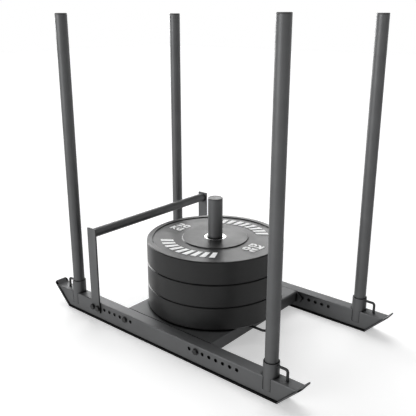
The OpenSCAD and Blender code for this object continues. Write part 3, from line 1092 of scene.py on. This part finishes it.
@dataclass
class PlateMarks:
    """The raised white marks in the recessed ring of a plate's faces: plain numbers and plain bars."""

    height: float = 1.2 * MM
    word_middle: float = 154 * MM
    word_half: float = 25 * MM
    number_row: tuple[float, float] = (3 * MM, 30 * MM)
    unit_row: tuple[float, float] = (-31 * MM, -4.5 * MM)
    bar_band: tuple[float, float] = (140 * MM, 180 * MM)
    bar_half: float = math.radians(41)
    bar_count: int = 9
    bar_cells: int = 4
    bar_fill: float = 0.6
    slant: float = math.radians(3.5)
    boldness: float = 0.048
    tracking: float = 1.12
    draft_depth: float = 0.1

    def word(self, text: str) -> Slab:
        """Draws plain letters as a flat slab.

        Args:
            text: The letters.

        Returns:
            Points scaled to the square from -1 to 1 with a depth of 0 to 1, and the faces.
        """
        curve = bpy.data.curves.new(text, "FONT")
        curve.body, curve.extrude, curve.offset = text, self.draft_depth, self.boldness
        curve.space_character = self.tracking
        maker = placed(text, curve)
        bpy.context.view_layer.update()
        mesh = bpy.data.meshes.new_from_object(maker.evaluated_get(bpy.context.evaluated_depsgraph_get()))
        points = np.empty(len(mesh.vertices) * 3, np.float32)
        mesh.vertices.foreach_get("co", points)
        points = points.reshape(-1, 3).astype(float)
        faces = [list(polygon.vertices) for polygon in mesh.polygons]
        bpy.data.objects.remove(maker)
        bpy.data.curves.remove(curve)
        bpy.data.meshes.remove(mesh)
        low, high = points.min(axis=0), points.max(axis=0)
        scaled = 2 * (points - low) / (high - low) - 1
        scaled[:, 2] = (scaled[:, 2] + 1) / 2
        return scaled, faces

    def bar(self) -> Slab:
        """Draws one plain bar as a slab of cells side by side, in the same square as a word.

        Returns:
            The points, as two lines on top and two at the foot, and the faces round the four lines.
        """
        u = np.linspace(-1, 1, self.bar_cells + 1)
        top = np.array([(x, y, 1.0) for y in (-1.0, 1.0) for x in u])
        lines = np.arange(4 * len(u)).reshape(4, -1)[[0, 1, 3, 2]]
        beside = np.roll(lines, -1, axis=0)
        quads = np.stack([lines[:, :-1], lines[:, 1:], beside[:, 1:], beside[:, :-1]], axis=-1)
        ends = np.stack([lines[:, 0], lines[::-1, -1]])
        return np.concatenate([top, top * (1, 1, 0)]), np.concatenate([quads.reshape(-1, 4), ends]).tolist()

    def bend(self, points: Array, middle: float, half: float, base: float, upward: int) -> Array:
        """Lays a bar's slab on the ring band of the bars.

        Across the slab the angle runs by half to each side of the middle, and up the slab the radius runs
        from the band's outer to its inner edge while the angle shifts by the slant.

        Args:
            points: The slab's points in the square from -1 to 1.
            middle: The angle of its middle.
            half: Half of the angle that it spans.
            base: The height that it stands on.
            upward: 1 on the upper face and -1 on the lower face.

        Returns:
            The points in place.
        """
        inner, outer = self.bar_band
        r = (inner + outer) / 2 - points[:, 1] * (outer - inner) / 2
        a = middle + upward * (points[:, 0] * half + points[:, 1] * self.slant / 2)
        return np.stack([r * np.cos(a), r * np.sin(a), base + upward * points[:, 2] * self.height], axis=1)

    def place(self, points: Array, row: tuple[float, float], turn: int, base: float, upward: int) -> Array:
        """Lays a word's slab flat beside the bore, upright on one side and turned round on the other.

        Args:
            points: The slab's points in the square from -1 to 1.
            row: The lower and upper edge of the word's row.
            turn: 1 for the word on the left and -1 for the one on the right.
            base: The height that it stands on.
            upward: 1 on the upper face and -1 on the lower face, where it reads from below.

        Returns:
            The points in place.
        """
        x = -self.word_middle + points[:, 0] * self.word_half
        y = (row[0] + row[1]) / 2 + points[:, 1] * (row[1] - row[0]) / 2
        return np.stack([upward * turn * x, turn * y, base + upward * points[:, 2] * self.height], axis=1)

    def build(self, name: str, faces_at: Sequence[tuple[float, int]]) -> bpy.types.Object:
        """Makes all marks of one plate.

        Args:
            name: The new object's name.
            faces_at: Pairs of the height of a recessed ring and its direction, 1 up or -1 down.

        Returns:
            The marks as one object.
        """
        words = ((self.word("20"), self.number_row), (self.word("KG"), self.unit_row))
        bar, bar_faces = self.bar()
        step = 2 * self.bar_half / (self.bar_count - 1 + self.bar_fill)
        slabs: list[Slab] = []
        for base, upward in faces_at:
            for turn in (1, -1):
                for (letters, letter_faces), row in words:
                    slabs.append((self.place(letters, row, turn, base, upward), letter_faces))
            for heading in (-math.pi / 2, math.pi / 2):
                for k in range(self.bar_count):
                    middle = heading + (k - (self.bar_count - 1) / 2) * step
                    slabs.append((self.bend(bar, middle, step * self.bar_fill / 2, base, upward), bar_faces))
        starts = np.cumsum([0] + [len(points) for points, _ in slabs]).tolist()
        faces = [[start + i for i in face] for start, (_, slab) in zip(starts, slabs) for face in slab]
        mesh = bpy.data.meshes.new(name)
        mesh.from_pydata(np.concatenate([points for points, _ in slabs]), [], faces)
        return finished_object(name, mesh)


@dataclass
class PlateStack(Group):
    """The three rubber plates with their steel hub rings and white marks."""

    rim_width: float = 18 * MM
    disc_radius: float = 110 * MM
    recess: float = 3 * MM
    edge: float = 3 * MM
    edge_softness: float = 0.7 * MM
    step_edge: float = 0.8 * MM
    bore_edge: float = 0.4 * MM
    bore_bevel: tuple[float, float] = (5 * MM, 6 * MM)
    bore: float = 25.3 * MM
    hub_fit: float = 0.1 * MM
    sides: int = 160
    marks_sunk: float = 0.05 * MM
    marks: PlateMarks = field(default_factory=PlateMarks)

    def build(self) -> None:
        """Makes and dresses each plate, its ring and its marks."""
        for level in Level:
            body = f"{level.value}_plate"
            low, high = box_of(body)
            plate = Shell().revolve(self.plate_outline(low, high), np.zeros(2), self.sides)
            self.shop.dress(plate.build(f"{body}_rubber"), Slot.RUBBER, body, body)
            ring = self.hub_ring(f"{level.value}_hub_ring")
            self.shop.dress(ring, Slot.HUB, body, f"{level.value}_hub_ring")
            depth = self.recess + self.marks_sunk
            marks = self.marks.build(f"{body}_marks", [(high[2] - depth, 1), (low[2] + depth, -1)])
            self.shop.dress(marks, Slot.MARKING, body)

    def plate_outline(self, low: Array, high: Array) -> Array:
        """Works out a plate's half section: bore, raised middle, recessed ring and rim on both faces.

        Args:
            low: The lowest corner of the plate's box.
            high: The highest corner of the plate's box.

        Returns:
            The rounded outline as rows of radius and height.
        """
        outer, foot, top = high[0], low[2], high[2]
        bore = box_of("upper_hub_ring")[1][0] + self.hub_fit
        rim, disc, deep, cut = outer - self.rim_width, self.disc_radius, self.recess, self.edge
        lower = [(bore, foot), (disc - deep, foot), (disc, foot + deep), (rim - deep, foot + deep),
                 (rim, foot), (outer - cut, foot), (outer, foot + cut)]
        upper = [(r, top - (z - foot)) for r, z in reversed(lower)]
        half = [self.bore_edge] + [self.step_edge] * 4 + [self.edge_softness] * 2
        return rounded_outline(lower + upper, half + half[::-1], 5)

    def hub_ring(self, node: str) -> bpy.types.Object:
        """Makes one steel ring with a bevel at each mouth.

        Args:
            node: The ring's node.

        Returns:
            The ring.
        """
        low, high = box_of(node)
        outer, foot, top = high[0], low[2], high[2]
        wide, deep = self.bore_bevel
        corners = [(self.bore + wide, foot), (outer, foot), (outer, top), (self.bore + wide, top),
                   (self.bore, top - deep), (self.bore, foot + deep)]
        outline = rounded_outline(corners, self.bore_edge)
        return Shell().revolve(outline, np.zeros(2)).build(f"{node}_steel")


@dataclass
class Fasteners(Group):
    """The bolts, washers and nuts of the handle and the tray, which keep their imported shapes."""

    kinds: tuple[str, ...] = ("bolts", "washers", "nuts")

    def build(self) -> None:
        """Dresses every fastener node."""
        for place in ("handle", "tray"):
            for kind in self.kinds:
                self.shop.paint_node(f"{place}_{kind}", Slot.FASTENER)


@dataclass
class Camera:
    """The photograph's camera, worked out from the plates and the frame."""

    place: tuple[float, float, float] = (1.1988, -1.4525, 0.9864)
    tilt_deg: float = 17.58
    heading_deg: float = 40.26
    focal_px: float = 607.5
    image_px: float = 416.0
    sensor_mm: float = 36.0

    def build(self) -> None:
        """Makes the camera and gives it to the scene."""
        lens = bpy.data.cameras.new("photo_camera")
        lens.sensor_width = self.sensor_mm
        lens.lens = self.focal_px / self.image_px * self.sensor_mm
        made = placed("photo_camera", lens)
        made.location = self.place
        made.rotation_euler = (math.radians(90 - self.tilt_deg), 0, math.radians(self.heading_deg))
        bpy.context.scene.camera = made


@dataclass
class Sun:
    """One soft distant lamp."""

    name: str
    azimuth_deg: float
    height_deg: float
    strength: float
    spread_deg: float = 36.0

    def build(self) -> None:
        """Makes the lamp, shining from its azimuth, counted from -Y towards +X, and its height."""
        lamp = bpy.data.lights.new(self.name, "SUN")
        lamp.energy, lamp.angle = self.strength, math.radians(self.spread_deg)
        made = placed(self.name, lamp)
        made.rotation_euler = (math.radians(90 - self.height_deg), 0, math.radians(self.azimuth_deg))


@dataclass
class Studio:
    """The pale floor, the white surroundings and the lamps."""

    floor_half: float = 14.0
    floor_tone: float = 0.82
    floor_bounce: float = 0.25
    floor_lift: float = 0.45
    fill: float = 0.05
    wall: float = 1.0
    wall_height: float = 0.28
    ceiling: float = 0.02
    ceiling_height: float = 0.42
    lamps: tuple[Sun, ...] = (
        Sun("left_rear", -140, 8, 1.2),
        Sun("left", -110, 8, 3.8),
        Sun("front", -17, 8, 2.05),
        Sun("behind", 160, 8, 0.25),
        Sun("high_left", -133, 60, 1.1),
        Sun("high_right", 135, 68, 0.38),
    )

    def world(self) -> None:
        """Makes surroundings that look white, with a dim ceiling in reflections and a weak fill light.

        The strength is 1 for camera rays. For mirrored and bent rays it falls from the wall's level at the
        horizon to the ceiling's level overhead, following the height of the ray's direction.
        """
        world = bpy.data.worlds.new("white_surroundings")
        world.use_nodes = True
        board = NodeBoard(world.node_tree)
        rays = board.add("ShaderNodeLightPath").outputs
        place = board.add("ShaderNodeTexCoord").outputs["Generated"]
        height = board.add("ShaderNodeSeparateXYZ", {0: place}).outputs["Z"]
        room = board.spread(height, self.wall, self.ceiling, self.wall_height, self.ceiling_height,
                            interpolation_type="SMOOTHSTEP")
        level: Any = self.fill
        for ray, strength in (("Glossy", room), ("Transmission", room), ("Camera", 1.0)):
            mix = board.add("ShaderNodeMix", {"Factor": rays[f"Is {ray} Ray"], "A": level, "B": strength})
            level = mix.outputs[0]
        background = world.node_tree.nodes["Background"]
        board.join(grey(1.0), background.inputs["Color"])
        board.join(level, background.inputs["Strength"])
        bpy.context.scene.world = world

    def floor(self) -> None:
        """Makes the floor, pale for seen rays and darker for the light that it throws back.

        Its own glow for seen rays lifts its lit part to white.
        """
        half = self.floor_half
        mesh = bpy.data.meshes.new("studio_floor")
        corners = np.array([(-half, -half, 0), (half, -half, 0), (half, half, 0), (-half, half, 0)])
        mesh.from_pydata(corners, [], [[0, 1, 2, 3]])
        sheet = NodeSheet("pale_floor")
        seen = sheet.seen()
        sheet.tint(seen, grey(self.floor_bounce), grey(self.floor_tone))
        sheet.finish(Roughness=1.0, Specular_IOR_Level=0.0, Emission_Color=grey(1.0),
                     Emission_Strength=sheet.sum("MULTIPLY", seen, self.floor_lift))
        mesh.materials.append(sheet.material)
        floor = placed("studio_floor", mesh)

    def build(self) -> None:
        """Makes the floor, the surroundings and the lamps."""
        self.floor()
        self.world()
        for lamp in self.lamps:
            lamp.build()
        bpy.context.scene.view_settings.view_transform = "Standard"


def clear_start_objects() -> None:
    """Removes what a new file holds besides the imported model."""
    keep = set(frame["nodes"].values()) | set(frame["bodies"].values())
    for extra in [o for o in bpy.data.objects if o not in keep]:
        bpy.data.objects.remove(extra)


def main() -> None:
    """Builds the sled's visible pieces and the studio round them."""
    logging.basicConfig(level=logging.INFO, format="%(name)s: %(message)s")
    clear_start_objects()
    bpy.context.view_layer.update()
    Camera().build()
    shop, beads = Workshop(), WeldBeads()
    shop.prepare()
    for node in ("right_runner", "left_runner", "socket_floor_discs"):
        shop.paint_node(node, Slot.PAINT)
    for group in (Skids, Sockets, WeightTray, LowHandle, Fasteners, PushPoles, PlateStack):
        group(shop, beads).build()
    shop.dress(beads.shell.build("weld_beads", BEAD_SHARP_DEG), Slot.PAINT, "frame")
    Studio().build()


if __name__ == "__main__":
    main()
